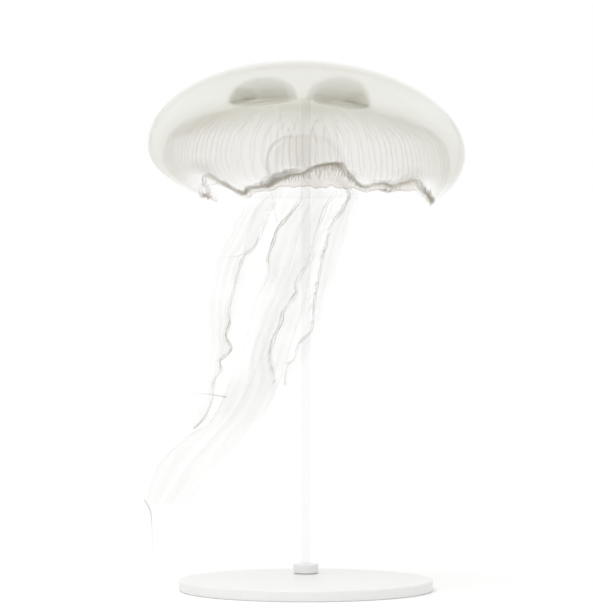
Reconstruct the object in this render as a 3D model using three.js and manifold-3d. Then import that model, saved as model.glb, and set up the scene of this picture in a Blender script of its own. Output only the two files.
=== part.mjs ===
// A moon jellyfish, Aurelia aurita, life size and in mid pulse, on a plain display stand.
//
// Millimetres, +Z up. The origin is the centre of the underside of the stand's base.
// The front is -Y, and an azimuth is the angle from the front towards +X.
// The body is first built round the bell's upright axis. posed() then leans and tilts it.

import * as THREE from 'three';
import { mergeVertices } from 'three/addons/utils/BufferGeometryUtils.js';
import Module from 'manifold-3d';

// Space kept between two pieces that touch
const GAP = 0.3;

// Bell: an upper and a lower half ellipse meet where it is widest
const BELL_RADIUS = 100;
const WIDEST_HEIGHT = 277.5;
const UPPER_RISE = 56.5;
const LOWER_DROP = 46.5;
const BELL_COLUMNS = 36;
const BELL_ROWS = 10;

// Hollow under the bell
const CAVITY_RADIUS = 88;
const CAVITY_RISE = 29.5;

// Rim of the dome, where the lappets begin, and the margin, where the tentacles grow
const RIM_ANGLE = radians(9.3);
const MARGIN_ANGLE = radians(42.6);
const RIM_THICKNESS = 9.5;
const MARGIN_THICKNESS = 1.6;
const WALL_TAPER_POWER = 1.4;
const MARGIN_PULL_POWER = 1.6;

// Height of the pleated margin at each azimuth of the front half. The back half is its mirror image.
const MARGIN_HEIGHTS = [
  [-90, 245],
  [-66, 250],
  [-47, 255.6],
  [-36, 249.2],
  [-20, 254.7],
  [-4, 259.7],
  [10, 264.2],
  [18, 265.8],
  [26, 256.6],
  [31, 253],
  [40, 252.5],
  [53, 259.4],
  [68, 253],
  [90, 246],
];
const LOWEST_MARGIN = 245;
const LOWEST_MARGIN_RADIUS = 71;
const MARGIN_SPREAD = 0.65;

// Lappets: the eight lobes of the margin, each with its fringe of tentacles and thin inner flap
const LAPPETS = 8;
const LAPPET_COLUMNS = 9;
const LAPPET_ROWS = 4;
const FLAP_START = 0.75;
const FLAP_THICKNESS = 0.7;
const FLAP_DROP = 2.5;
const FLAP_DROP_SLOPE = 0.35;
const FLAP_REACH = 3;
const NOTCH_HALF_WIDTH = 1.8;
const TENTACLES_PER_LAPPET = 11;
const TENTACLE_ROOT_RADIUS = 0.6;
const TENTACLE_TIP_RADIUS = 0.4;
const TENTACLE_LENGTH = 5.5;
const TENTACLE_SIDES = 3;
const TENTACLE_LENGTH_VARIATION = 0.2;
const TENTACLE_LEAN = radians(14);
const TENTACLE_LEAN_VARIATION = radians(9);
const TENTACLE_ROOT_DEPTH = 0.3;

// Rhopalia: the small sense organs in the notches between lappets
const RHOPALIUM_RADIUS = 1.1;
const RHOPALIUM_LENGTH = 3.4;

// Gonads: four horseshoes, open towards the bell's axis
const GONADS = 4;
const GONAD_RING_RADIUS = 35;
const GONAD_BEND_RADIUS = 13.5;
const GONAD_HALF_SWEEP = radians(122);
const GONAD_HALF_WIDTH = 4.4;
const GONAD_HEIGHT = 9.5;
const GONAD_END_ROUNDING = 0.35;
const GONAD_CLEARANCE = 3;
const GONAD_SHIFT = -3;
const GONAD_STEPS = 12;
const GONAD_ARCH_STEPS = 4;
const POCKET_OVERRUN = 0.02;

// Manubrium: the four-cornered mouth stalk, narrow below the ceiling and swollen above the arms
const MANUBRIUM_RADIUS = 17.5;
const MANUBRIUM_SWELL = 0.14;
const MANUBRIUM_CORNER = 0.12;
const MANUBRIUM_FOOT = 266;
const MANUBRIUM_SIDES = 16;
const MANUBRIUM_STEPS = 6;

// Oral arms: folded ribbons that trail down and to the left, along one shared sweep
const ARM_SWEEP = [
  [0.8, 266],
  [0.8, 252],
  [-10, 214.5],
  [-21.4, 176.8],
  [-32, 139],
  [-47.8, 107.6],
  [-69.8, 79.3],
  [-88.7, 54.2],
  [-96.9, 29],
  [-97, 23],
];
const ARMS = [
  { side: 'left', corner: [-11, 0], spread: [-28, -2], depth: [-1, 1], halfWidth: 6.5, turn: 65, reach: 1 },
  { side: 'front', corner: [0, -11], spread: [-1, 4], depth: [-18, -15], halfWidth: 12, turn: 5, reach: 0.9 },
  { side: 'back', corner: [0, 11], spread: [13, 14], depth: [18, 16], halfWidth: 8.5, turn: -8, reach: 0.88 },
  { side: 'right', corner: [11, 0], spread: [28, 24], depth: [2, 0], halfWidth: 7, turn: -65, reach: 0.58 },
];
const ARM_LENGTHS = ['upper', 'middle', 'lower'];
const ARM_SPREAD_END = 0.12;
const ARM_UNTURN = 0.6;
const ARM_UNTURN_END = 0.36;
const ARM_ROOT_SHARE = 0.62;
const ARM_TAPER_START = 0.68;
const ARM_TIP_SHARE = 0.12;
const ARM_FOLD_DEPTH = 6;
const ARM_THICKNESS = 1.4;
const ARM_TIP_THICKNESS = 0.9;
const RUFFLE_HEIGHT = 2;
const RUFFLES = 11;
const ARM_COLUMNS = 4;
const ARM_ROWS = 9;
const ARM_PATH_LENGTH = 280;
const TANGENT_STEP = 0.004;

// Pose: the margin stands to the right of the dome, and the right side hangs lower
const DOME_SHIFT = 0.3;
const LEAN = 8.5;
const LEAN_START = 275;
const LEAN_SPAN = 30;
const LEAN_POWER = 2.5;
const TILT_SLOPE = 0.0315;

// Stand
const BASE_RADIUS = 80;
const BASE_HEIGHT = 7;
const BASE_CHAMFER = 1.5;
const ROD_RADIUS = 3;
const ROD_BEHIND = 42;
const ROD_TOP = 311;
const COLLAR_RADIUS = 8;
const COLLAR_HEIGHT = 6;

const MATERIALS = {
  mesogloea: { color: 0xe9e9e1, roughness: 0.25, metalness: 0 },
  margin: { color: 0xc9c9bd, roughness: 0.3, metalness: 0 },
  gonad: { color: 0xbebaaf, roughness: 0.4, metalness: 0 },
  arm: { color: 0xf1f1ee, roughness: 0.3, metalness: 0 },
  sense: { color: 0x8f8b80, roughness: 0.5, metalness: 0 },
  base: { color: 0xf2f2f0, roughness: 0.35, metalness: 0 },
  rod: { color: 0xe4eaec, roughness: 0.08, metalness: 0 },
};

const manifold = await Module();
manifold.setup();

function radians(degrees) {
  return THREE.MathUtils.degToRad(degrees);
}

function smooth(value) {
  return THREE.MathUtils.smoothstep(value, 0, 1);
}

function mix(range, share) {
  return THREE.MathUtils.lerp(range[0], range[1], share);
}

// The point at a distance from the bell's axis, an azimuth and a height
function around(radius, azimuth, height) {
  return new THREE.Vector3(radius * Math.sin(azimuth), -radius * Math.cos(azimuth), height);
}

// Closed geometry with shared corners, no collapsed triangles and its faces pointing out
function closed(geometry) {
  geometry.deleteAttribute('normal');
  geometry.deleteAttribute('uv');
  const merged = mergeVertices(geometry);
  const corners = merged.index.array;
  const position = merged.attributes.position;
  const [a, b, c] = [new THREE.Vector3(), new THREE.Vector3(), new THREE.Vector3()];
  const kept = [];
  let volume = 0;
  for (let i = 0; i < corners.length; i += 3) {
    const [p, q, r] = corners.slice(i, i + 3);
    if (p !== q && q !== r && r !== p) {
      kept.push(p, q, r);
      a.fromBufferAttribute(position, p);
      b.fromBufferAttribute(position, q);
      c.fromBufferAttribute(position, r);
      volume += a.dot(b.cross(c));
    }
  }
  merged.setIndex(volume < 0 ? kept.reverse() : kept);
  return merged;
}

function fromLists(positions, index) {
  const geometry = new THREE.BufferGeometry();
  geometry.setAttribute('position', new THREE.Float32BufferAttribute(positions, 3));
  geometry.setIndex(index);
  return closed(geometry);
}

// The solid between two surfaces, each a function of the shares u and v. A round one closes on itself in u.
function solidBetween(outer, inner, columns, rows, round = false) {
  const across = round ? columns : columns + 1;
  const positions = [];
  for (const surface of [outer, inner]) {
    for (let row = 0; row <= rows; row += 1) {
      for (let column = 0; column < across; column += 1) {
        positions.push(...surface(column / columns, row / rows));
      }
    }
  }
  const at = (face, column, row) => (face * (rows + 1) + row) * across + (column % across);
  const index = [];
  const quad = (a, b, c, d) => index.push(a, b, c, a, c, d);
  for (let column = 0; column < columns; column += 1) {
    const next = column + 1;
    for (let row = 0; row < rows; row += 1) {
      quad(at(0, column, row), at(0, column, row + 1), at(0, next, row + 1), at(0, next, row));
      quad(at(1, column, row), at(1, next, row), at(1, next, row + 1), at(1, column, row + 1));
    }
    quad(at(0, column, 0), at(0, next, 0), at(1, next, 0), at(1, column, 0));
    quad(at(0, column, rows), at(1, column, rows), at(1, next, rows), at(0, next, rows));
  }
  for (let row = 0; row < rows && !round; row += 1) {
    quad(at(0, 0, row), at(1, 0, row), at(1, 0, row + 1), at(0, 0, row + 1));
    quad(at(0, columns, row), at(0, columns, row + 1), at(1, columns, row + 1), at(1, columns, row));
  }
  return fromLists(positions, index);
}

// The solid through a row of rings, closed by a flat cap at each end. ring(share, side) is a ring's corner.
function solidThrough(ring, steps, sides) {
  const positions = [];
  for (let step = 0; step <= steps; step += 1) {
    for (let side = 0; side < sides; side += 1) {
      positions.push(...ring(step / steps, side));
    }
  }
  const at = (step, side) => step * sides + (side % sides);
  const index = [];
  for (let step = 0; step < steps; step += 1) {
    for (let side = 0; side < sides; side += 1) {
      index.push(at(step, side), at(step, side + 1), at(step + 1, side + 1));
      index.push(at(step, side), at(step + 1, side + 1), at(step + 1, side));
    }
  }
  for (let side = 1; side < sides - 1; side += 1) {
    index.push(at(0, 0), at(0, side + 1), at(0, side));
    index.push(at(steps, 0), at(steps, side), at(steps, side + 1));
  }
  return fromLists(positions, index);
}

function toSolid(geometry) {
  const mesh = new manifold.Mesh({
    numProp: 3,
    vertProperties: geometry.attributes.position.array,
    triVerts: Uint32Array.from(geometry.index.array),
  });
  return new manifold.Manifold(mesh);
}

function toGeometry(solid) {
  const mesh = solid.getMesh();
  const geometry = new THREE.BufferGeometry();
  geometry.setAttribute('position', new THREE.BufferAttribute(mesh.vertProperties, 3));
  geometry.setIndex(new THREE.BufferAttribute(mesh.triVerts, 1));
  return geometry;
}

// Leans the margin to the right of the dome and lowers the right side
function posed(geometry) {
  const position = geometry.attributes.position;
  for (let i = 0; i < position.count; i += 1) {
    const x = position.getX(i);
    const z = position.getZ(i);
    const below = Math.max(0, (LEAN_START - z) / LEAN_SPAN);
    position.setX(i, x + DOME_SHIFT + LEAN * below ** LEAN_POWER);
    position.setZ(i, z - TILT_SLOPE * x);
  }
  return geometry;
}

function named(name, geometry, material) {
  const mesh = new THREE.Mesh(geometry, new THREE.MeshStandardMaterial(MATERIALS[material]));
  mesh.name = name;
  return mesh;
}

// Height of the cavity's ceiling at a distance from the bell's axis
function ceiling(radius) {
  return WIDEST_HEIGHT + CAVITY_RISE * Math.sqrt(1 - (radius / CAVITY_RADIUS) ** 2);
}

// Height of the margin at an azimuth, eased from each listed height to the next
function marginHeight(azimuth) {
  const degrees = THREE.MathUtils.radToDeg(Math.asin(Math.sin(azimuth)));
  const next = Math.max(1, MARGIN_HEIGHTS.findIndex(([start]) => start >= degrees));
  const [start, height] = MARGIN_HEIGHTS[next - 1];
  const [end, nextHeight] = MARGIN_HEIGHTS[next];
  return mix([height, nextHeight], smooth((degrees - start) / (end - start)));
}

function marginRadius(height) {
  return LOWEST_MARGIN_RADIUS + MARGIN_SPREAD * (height - LOWEST_MARGIN);
}

// Meridian of the dome, from the top (angle 90 degrees) past the widest place to the rim
function domeAngle(share) {
  return THREE.MathUtils.lerp(Math.PI / 2, -RIM_ANGLE, share);
}

function domeOutside(u, v) {
  const angle = domeAngle(v);
  const rise = angle > 0 ? UPPER_RISE : LOWER_DROP;
  const radius = v === 0 ? 0 : BELL_RADIUS * Math.cos(angle);
  return around(radius, u * 2 * Math.PI, WIDEST_HEIGHT + rise * Math.sin(angle));
}

function domeInside(u, v) {
  const angle = domeAngle(v);
  const azimuth = u * 2 * Math.PI;
  if (angle > 0) {
    const radius = v === 0 ? 0 : CAVITY_RADIUS * Math.cos(angle);
    return around(radius, azimuth, WIDEST_HEIGHT + CAVITY_RISE * Math.sin(angle));
  }
  const share = angle / -RIM_ANGLE;
  const thickness = mix([BELL_RADIUS - CAVITY_RADIUS, RIM_THICKNESS], share);
  const radius = (BELL_RADIUS - thickness) * Math.cos(angle);
  return around(radius, azimuth, WIDEST_HEIGHT + (LOWER_DROP - thickness) * Math.sin(angle));
}

// One corner of a gonad's section, an arch on a flat foot. grow widens it and sink deepens its foot.
function gonadCorner(azimuth, share, side, grow, sink) {
  const bend = mix([-GONAD_HALF_SWEEP, GONAD_HALF_SWEEP], share);
  const size = 1 - GONAD_END_ROUNDING * (2 * share - 1) ** 4;
  const isFoot = side > GONAD_ARCH_STEPS;
  const arch = isFoot ? Math.PI * (GONAD_ARCH_STEPS + 2 - side) : (Math.PI * side) / GONAD_ARCH_STEPS;
  const away = GONAD_BEND_RADIUS + (GONAD_HALF_WIDTH * size + grow) * Math.cos(arch);
  const out = GONAD_RING_RADIUS + away * Math.cos(bend);
  const sideways = away * Math.sin(bend);
  const radius = Math.hypot(out, sideways);
  const rise = isFoot ? -sink : (GONAD_HEIGHT * size + grow) * Math.sin(arch);
  const height = ceiling(radius) + GONAD_CLEARANCE + rise;
  const point = around(radius, azimuth + Math.atan2(sideways, out), height);
  point.x += GONAD_SHIFT;
  return point;
}

function gonadAzimuth(index) {
  return ((index + 0.5) * 2 * Math.PI) / GONADS;
}

function gonadSolid(azimuth) {
  const ring = (share, side) => gonadCorner(azimuth, share, side, 0, 0);
  return solidThrough(ring, GONAD_STEPS, GONAD_ARCH_STEPS + 1);
}

// The pocket that a gonad sits in, open into the cavity below
function gonadPocket(azimuth) {
  const sink = 2 * GONAD_HEIGHT;
  const range = [-POCKET_OVERRUN, 1 + POCKET_OVERRUN];
  const ring = (share, side) => gonadCorner(azimuth, mix(range, share), side, GAP, sink);
  return solidThrough(ring, GONAD_STEPS, GONAD_ARCH_STEPS + 3);
}

function bell() {
  let dome = toSolid(solidBetween(domeOutside, domeInside, BELL_COLUMNS, BELL_ROWS, true));
  for (let index = 0; index < GONADS; index += 1) {
    dome = dome.subtract(toSolid(gonadPocket(gonadAzimuth(index))));
  }
  const socket = new THREE.CylinderGeometry(ROD_RADIUS + GAP, ROD_RADIUS + GAP, ROD_TOP + GAP, 12);
  socket.rotateX(Math.PI / 2);
  socket.translate(0, ROD_BEHIND, (ROD_TOP + GAP) / 2);
  const withSocket = toSolid(posed(toGeometry(dome))).subtract(toSolid(closed(socket)));
  return named('bell', toGeometry(withSocket), 'mesogloea');
}

// A point of the lappets' wall: share runs from the rim to the margin, and depth from the outer face inwards
function lappetWall(azimuth, share, depth) {
  const angle = mix([RIM_ANGLE, MARGIN_ANGLE], share);
  const height = marginHeight(azimuth);
  const pull = share ** MARGIN_PULL_POWER;
  const freeRadius = BELL_RADIUS * Math.cos(angle);
  const freeHeight = WIDEST_HEIGHT - LOWER_DROP * Math.sin(angle);
  const radius = freeRadius + pull * (marginRadius(height) - BELL_RADIUS * Math.cos(MARGIN_ANGLE));
  const level = freeHeight + pull * (height - WIDEST_HEIGHT + LOWER_DROP * Math.sin(MARGIN_ANGLE));
  return around(radius - depth * Math.cos(angle), azimuth, level + depth * Math.sin(angle));
}

// A point of a lappet: v runs down the wall to the margin and on over the thin inner flap
function lappetPoint(azimuth, v, inside) {
  const wallShare = Math.min(1, v / FLAP_START);
  const flapShare = Math.max(0, (v - FLAP_START) / (1 - FLAP_START));
  const wall = mix([MARGIN_THICKNESS, RIM_THICKNESS], (1 - wallShare) ** WALL_TAPER_POWER);
  const thickness = mix([wall, FLAP_THICKNESS], flapShare);
  const point = lappetWall(azimuth, wallShare, inside ? thickness : 0);
  const height = marginHeight(azimuth);
  const drop = FLAP_DROP + FLAP_DROP_SLOPE * Math.max(0, height - LOWEST_MARGIN);
  const inwards = 1 - (FLAP_REACH * flapShare) / Math.hypot(point.x, point.y);
  point.x *= inwards;
  point.y *= inwards;
  point.z -= GAP + drop * flapShare;
  return point;
}

function lappetSurface(index, inside) {
  const sector = (2 * Math.PI) / LAPPETS;
  return (u, v) => {
    const clear = (GAP / 2 + NOTCH_HALF_WIDTH * v ** 2) / LOWEST_MARGIN_RADIUS;
    const azimuth = mix([index * sector + clear, (index + 1) * sector - clear], u);
    return lappetPoint(azimuth, v, inside);
  };
}

// A point of the margin itself, at a share of the way from the outer face to the inner one
function marginPoint(azimuth, depth) {
  return lappetPoint(azimuth, FLAP_START, false).lerp(lappetPoint(azimuth, FLAP_START, true), depth);
}

// A short tentacle that hangs from the margin and leans out a little. No two neighbours are alike.
function tentacle(azimuth, index) {
  const length = TENTACLE_LENGTH * (1 + TENTACLE_LENGTH_VARIATION * Math.sin(2.4 * index));
  const radii = [TENTACLE_ROOT_RADIUS, TENTACLE_TIP_RADIUS];
  const geometry = new THREE.CylinderGeometry(...radii, length, TENTACLE_SIDES);
  geometry.rotateX(Math.PI / 2);
  geometry.translate(0, 0, TENTACLE_ROOT_RADIUS - length / 2);
  geometry.rotateX(TENTACLE_LEAN_VARIATION * Math.sin(1.7 * index) - TENTACLE_LEAN);
  geometry.rotateZ(azimuth);
  geometry.translate(...marginPoint(azimuth, TENTACLE_ROOT_DEPTH));
  return closed(geometry);
}

function lappet(index) {
  const outside = lappetSurface(index, false);
  const inside = lappetSurface(index, true);
  let solid = toSolid(solidBetween(outside, inside, LAPPET_COLUMNS, LAPPET_ROWS));
  for (let each = 0; each < TENTACLES_PER_LAPPET; each += 1) {
    const share = (each + 1) / (TENTACLES_PER_LAPPET + 1);
    const azimuth = ((index + share) * 2 * Math.PI) / LAPPETS;
    solid = solid.add(toSolid(tentacle(azimuth, each + index * TENTACLES_PER_LAPPET)));
  }
  return named(`lappet_${index + 1}`, posed(toGeometry(solid)), 'margin');
}

function rhopalium(index) {
  const azimuth = (index * 2 * Math.PI) / LAPPETS;
  const geometry = new THREE.SphereGeometry(1, 5, 3);
  geometry.rotateX(Math.PI / 2);
  geometry.scale(RHOPALIUM_RADIUS, RHOPALIUM_RADIUS, RHOPALIUM_LENGTH / 2);
  geometry.translate(...marginPoint(azimuth, 0.5));
  return named(`rhopalium_${index + 1}`, posed(closed(geometry)), 'sense');
}

function manubrium() {
  const top = ceiling(MANUBRIUM_RADIUS * (1 + MANUBRIUM_CORNER)) - GAP;
  const ring = (share, side) => {
    const azimuth = (side * 2 * Math.PI) / MANUBRIUM_SIDES;
    const corner = 1 + MANUBRIUM_CORNER * Math.cos(4 * azimuth);
    const swell = 1 - MANUBRIUM_SWELL * Math.sin(2 * Math.PI * share);
    return around(MANUBRIUM_RADIUS * corner * swell, azimuth, mix([top, MANUBRIUM_FOOT], share));
  };
  return named('manubrium', posed(solidThrough(ring, MANUBRIUM_STEPS, MANUBRIUM_SIDES)), 'mesogloea');
}

const sweep = new THREE.CatmullRomCurve3(ARM_SWEEP.map(([x, z]) => new THREE.Vector3(x, 0, z)));

// Middle of an arm's ribbon, from its corner of the manubrium out to its own trailing path
function armSpine(arm, share) {
  const point = sweep.getPointAt(share * arm.reach);
  const away = smooth(share / ARM_SPREAD_END);
  point.x += mix([arm.corner[0], mix(arm.spread, share ** 2)], away);
  point.y += mix([arm.corner[1], mix(arm.depth, share)], away);
  return point;
}

function armHalfWidth(arm, share) {
  const swell = mix([ARM_ROOT_SHARE, 1], smooth(share / ARM_SPREAD_END));
  const taper = mix([1, ARM_TIP_SHARE], smooth((share - ARM_TAPER_START) / (1 - ARM_TAPER_START)));
  return arm.halfWidth * swell * taper;
}

// A point of an arm: across runs from one frilled lip (-1) over the midrib (0) to the other (1)
function armPoint(arm, share, across, lift) {
  const point = armSpine(arm, share);
  const ahead = armSpine(arm, Math.min(1, share + TANGENT_STEP));
  const tangent = ahead.sub(armSpine(arm, Math.max(0, share - TANGENT_STEP))).normalize();
  const turn = radians(arm.turn * (1 - ARM_UNTURN * smooth(share / ARM_UNTURN_END)));
  const wide = new THREE.Vector3(Math.cos(turn), Math.sin(turn), 0);
  wide.addScaledVector(tangent, -wide.dot(tangent)).normalize();
  const fold = new THREE.Vector3().crossVectors(tangent, wide);
  const halfWidth = armHalfWidth(arm, share);
  const slim = halfWidth / arm.halfWidth;
  const phase = 2 * across + arm.corner[0] - arm.corner[1];
  const wave = Math.sin(2 * Math.PI * RUFFLES * arm.reach * share + phase);
  const ruffle = RUFFLE_HEIGHT * slim * across ** 2 * wave;
  const depth = ARM_FOLD_DEPTH * slim * (Math.abs(across) - 0.5);
  point.addScaledVector(wide, halfWidth * across);
  const thickness = mix([ARM_TIP_THICKNESS, ARM_THICKNESS], slim);
  point.addScaledVector(fold, depth + ruffle + lift * thickness);
  point.z = Math.min(point.z, MANUBRIUM_FOOT - 2 * GAP - TILT_SLOPE * point.x);
  return point;
}

function armLength(arm, index) {
  const clear = GAP / 2 / ARM_PATH_LENGTH;
  const start = index === 0 ? 0 : index / ARM_LENGTHS.length + clear;
  const isLast = index === ARM_LENGTHS.length - 1;
  const end = isLast ? 1 : (index + 1) / ARM_LENGTHS.length - clear;
  const face = (lift) => (u, v) => armPoint(arm, mix([start, end], v), 2 * u - 1, lift);
  const geometry = solidBetween(face(0.5), face(-0.5), ARM_COLUMNS, ARM_ROWS);
  return named(`oral_arm_${arm.side}_${ARM_LENGTHS[index]}`, geometry, 'arm');
}

function lathe(profile, segments) {
  const points = profile.map(([radius, height]) => new THREE.Vector2(radius, height));
  const geometry = new THREE.LatheGeometry(points, segments);
  geometry.rotateX(Math.PI / 2);
  return closed(geometry);
}

function stand() {
  const base = lathe([
    [0, 0],
    [BASE_RADIUS, 0],
    [BASE_RADIUS, BASE_HEIGHT - BASE_CHAMFER],
    [BASE_RADIUS - BASE_CHAMFER, BASE_HEIGHT],
    [0, BASE_HEIGHT],
  ], 36);
  const foot = BASE_HEIGHT + GAP;
  const collar = lathe([
    [ROD_RADIUS + GAP, foot],
    [COLLAR_RADIUS, foot],
    [COLLAR_RADIUS, foot + COLLAR_HEIGHT],
    [ROD_RADIUS + GAP, foot + COLLAR_HEIGHT],
    [ROD_RADIUS + GAP, foot],
  ], 12);
  collar.translate(0, ROD_BEHIND, 0);
  const rod = new THREE.CylinderGeometry(ROD_RADIUS, ROD_RADIUS, ROD_TOP - foot, 12);
  rod.rotateX(Math.PI / 2);
  rod.translate(0, ROD_BEHIND, (ROD_TOP + foot) / 2);
  return [
    named('stand_base', base, 'base'),
    named('stand_collar', collar, 'base'),
    named('stand_rod', closed(rod), 'rod'),
  ];
}

const jellyfish = new THREE.Group();
jellyfish.add(bell());
jellyfish.add(manubrium());
for (let index = 0; index < GONADS; index += 1) {
  jellyfish.add(named(`gonad_${index + 1}`, posed(gonadSolid(gonadAzimuth(index))), 'gonad'));
}
for (let index = 0; index < LAPPETS; index += 1) {
  jellyfish.add(lappet(index));
  jellyfish.add(rhopalium(index));
}
for (const arm of ARMS) {
  for (let index = 0; index < ARM_LENGTHS.length; index += 1) {
    jellyfish.add(armLength(arm, index));
  }
}
jellyfish.add(...stand());

export default jellyfish;
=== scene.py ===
"""A moon jellyfish, life size, on a plain display stand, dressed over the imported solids.

Shapes are worked out in millimetres and made metres where a mesh is made. The front is -Y, an
azimuth is the angle from the front towards +X, and the bell's axis is built upright before
posed() leans and tilts it.
"""

import math

import bpy
import numpy as np
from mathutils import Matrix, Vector

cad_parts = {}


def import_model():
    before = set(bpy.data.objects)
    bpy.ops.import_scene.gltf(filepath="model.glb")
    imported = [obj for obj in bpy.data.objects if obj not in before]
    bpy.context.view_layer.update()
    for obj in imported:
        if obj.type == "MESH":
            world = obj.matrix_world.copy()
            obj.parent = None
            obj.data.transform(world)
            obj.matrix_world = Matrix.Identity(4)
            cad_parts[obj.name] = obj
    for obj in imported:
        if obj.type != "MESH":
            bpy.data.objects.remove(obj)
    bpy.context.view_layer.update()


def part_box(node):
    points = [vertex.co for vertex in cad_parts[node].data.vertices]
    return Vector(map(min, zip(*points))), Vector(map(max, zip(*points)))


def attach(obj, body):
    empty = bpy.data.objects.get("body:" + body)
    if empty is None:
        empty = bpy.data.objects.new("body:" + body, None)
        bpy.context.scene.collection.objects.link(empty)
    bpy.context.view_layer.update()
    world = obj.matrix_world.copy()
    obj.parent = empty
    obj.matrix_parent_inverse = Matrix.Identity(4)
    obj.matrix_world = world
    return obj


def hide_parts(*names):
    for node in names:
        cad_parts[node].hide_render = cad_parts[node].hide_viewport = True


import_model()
rng = np.random.default_rng(7)
TURN = 2 * math.pi
METRE = 1000
UP = np.array([0, 0, 1.0])
BACK = np.array([0, 1.0, 0])


def box_mm(node):
    """The lowest and highest corner of a CAD node, in millimetres."""
    low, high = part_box(node)
    return np.array(low) * METRE, np.array(high) * METRE


# Bell: an upper and a lower half ellipse meet where it is widest
BELL_LOW, BELL_HIGH = box_mm("bell")
BELL_RADIUS = (BELL_HIGH[1] - BELL_LOW[1]) / 2
WIDEST_HEIGHT = 277.5
UPPER_RISE = BELL_HIGH[2] - WIDEST_HEIGHT
LOWER_DROP = 46.5
CAVITY_RADIUS = 0.88 * BELL_RADIUS
CAVITY_RISE = 29.5

# Rim of the dome, where the lappets begin, and the margin, where the tentacles grow
RIM_ANGLE = math.radians(9.3)
MARGIN_ANGLE = math.radians(42.6)
RIM_THICKNESS = 9.5
MARGIN_THICKNESS = 1.3
FLAP_THICKNESS = 0.5
MARGIN_HEIGHTS = [
    (-90, 246), (-71, 246.5), (-54, 259.5), (-47, 255), (-40, 248.7), (-31, 252.3), (-24, 253.2),
    (-18, 255.8), (-9, 260.4), (0, 263.6), (4.5, 267.2), (8, 268.6), (12.7, 269.1), (15, 268.2),
    (18, 262.4), (22, 257.2), (26.5, 255.4), (31, 257), (35, 257.3), (41, 256.2), (50, 258.7),
    (58, 260.3), (64, 255), (71, 252.2), (80, 248.6), (90, 246.5),
]
LOWEST_MARGIN = 245
LOWEST_MARGIN_RADIUS = 71
MARGIN_SPREAD = 0.65
FLAP_DROP = 2.2
FLAP_EDGE_HEIGHT = 256.5
FLAP_REACH = 3
LAPPETS = 8
NOTCH_WIDTH = math.radians(2.2)
NOTCH_RISE = 0.5

# The margin's line: degrees, how dark and how wide; the back half mirrors the front half
MARGIN_LINE = [
    (-90, 0.3, 0.8), (-72, 0.3, 1), (-64, 0.12, 1), (-50, 0.25, 1), (-45, 0.7, 1.1), (-41, 0.9, 1),
    (-35, 1.15, 1.1), (-29, 1, 1.3), (-25, 0.85, 2), (-20, 0.9, 2.8), (-14, 0.85, 1.9),
    (-8, 0.9, 1.6), (0, 1, 1.2), (12, 0.9, 1.2), (20, 1, 1.5), (25, 0.8, 1.2), (29, 0.4, 1.2),
    (33, 0.6, 1.6), (42, 0.65, 1.8), (50, 0.65, 1.9), (58, 0.45, 1.7), (63, 0.9, 1.2),
    (75, 1.1, 1.3), (90, 1.2, 1.2),
]

# Short hanging tentacles: degrees, how dark
FRINGE_LINE = [
    (-90, 0.4), (-74, 0.4), (-68, 0.1), (-54, 0.1), (-42, 0.5), (-25, 0.7), (-12, 1.6), (20, 1.6),
    (30, 0.5), (90, 0.5),
]

# Loops of the margin: degrees, how far the middle hangs below the margin, radius
MARGIN_CURLS = [(-57, 7.6, 4.2), (37, 1.4, 3.2)]

# Tufts on the margin's line: degrees, half width in degrees, number of tentacles
MARGIN_TUFTS = [(-60, 4, 6), (-37, 4, 14), (-20, 6, 30), (37, 3, 5), (72, 9, 16)]
TENTACLES = 320

# Painted shade: darker columns where the lappets fold, made by a denser bell skin there: degrees,
# half width in degrees, strength
LAPPET_FOLD_SHADE = [(-47, 5, 4.0), (47.5, 6, 3.2)]

# Hazes about the lining: name, where it ends, height above and depth below the lining, density
HAZES = [
    ("near", 1.75, -0.3, 2.8, 1.5), ("middle", 1.65, 2.5, 5.6, 1.5), ("far", 1.5, 6.0, 10.0, 0.95),
]

# Canals in the lining of the cavity, from the top of the dome down to the margin
CANAL_START = 0.3
CANAL_END = 1.97
CANAL_HALF_WIDTH = 0.52
CANAL_HALF_HEIGHT = 0.14
CANAL_DEPTH = 0.6
BRANCH_LEVELS = [0.36, 0.44, 0.52, 0.62]
TIPS_PER_TREE = 14
TREE_WIDTH = math.radians(38)

# Gonads: four horseshoes, open towards the bell's axis. The lists go front right, back right,
# back left, front left.
GONADS = 4
GONAD_RING_RADIUS = 35
GONAD_BEND_RADIUS = 15
GONAD_HALF_SWEEP = math.radians(122)
GONAD_HALF_WIDTH = 5.2
GONAD_HEIGHT = 9
POUCH_RADIUS = 22.5
POUCH_HEIGHTS = [17, 17, 15, 15]
POUCH_LEANS = [0.25, 0.25, 0, 0]
GONAD_CLEARANCE = 3.2
GONAD_SHIFTS = [-4.6, -4.6, -3, -3]
GONAD_SIZES = [0.93, 0.93, 1, 1]

# Manubrium and stomach; a fold is its azimuth in degrees, how dark it is, and a shift in X
MANUBRIUM_RADIUS = 17.5
MANUBRIUM_FOOT = 266
STOMACH_RADIUS = 22.5
STOMACH_HEIGHT = 267
STOMACH_RISE = 20
STOMACH_WALL = 1.1
STOMACH_FOLDS = [(-84, 1.6, -1.8), (10, 0.25, 0), (96, 0.25, 0), (188, 0.25, 0)]
CORE_RADIUS = 8.5
CORE_HEIGHT = 276
CORE_RISE = 12
CORE_SHIFT = -3.5

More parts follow.
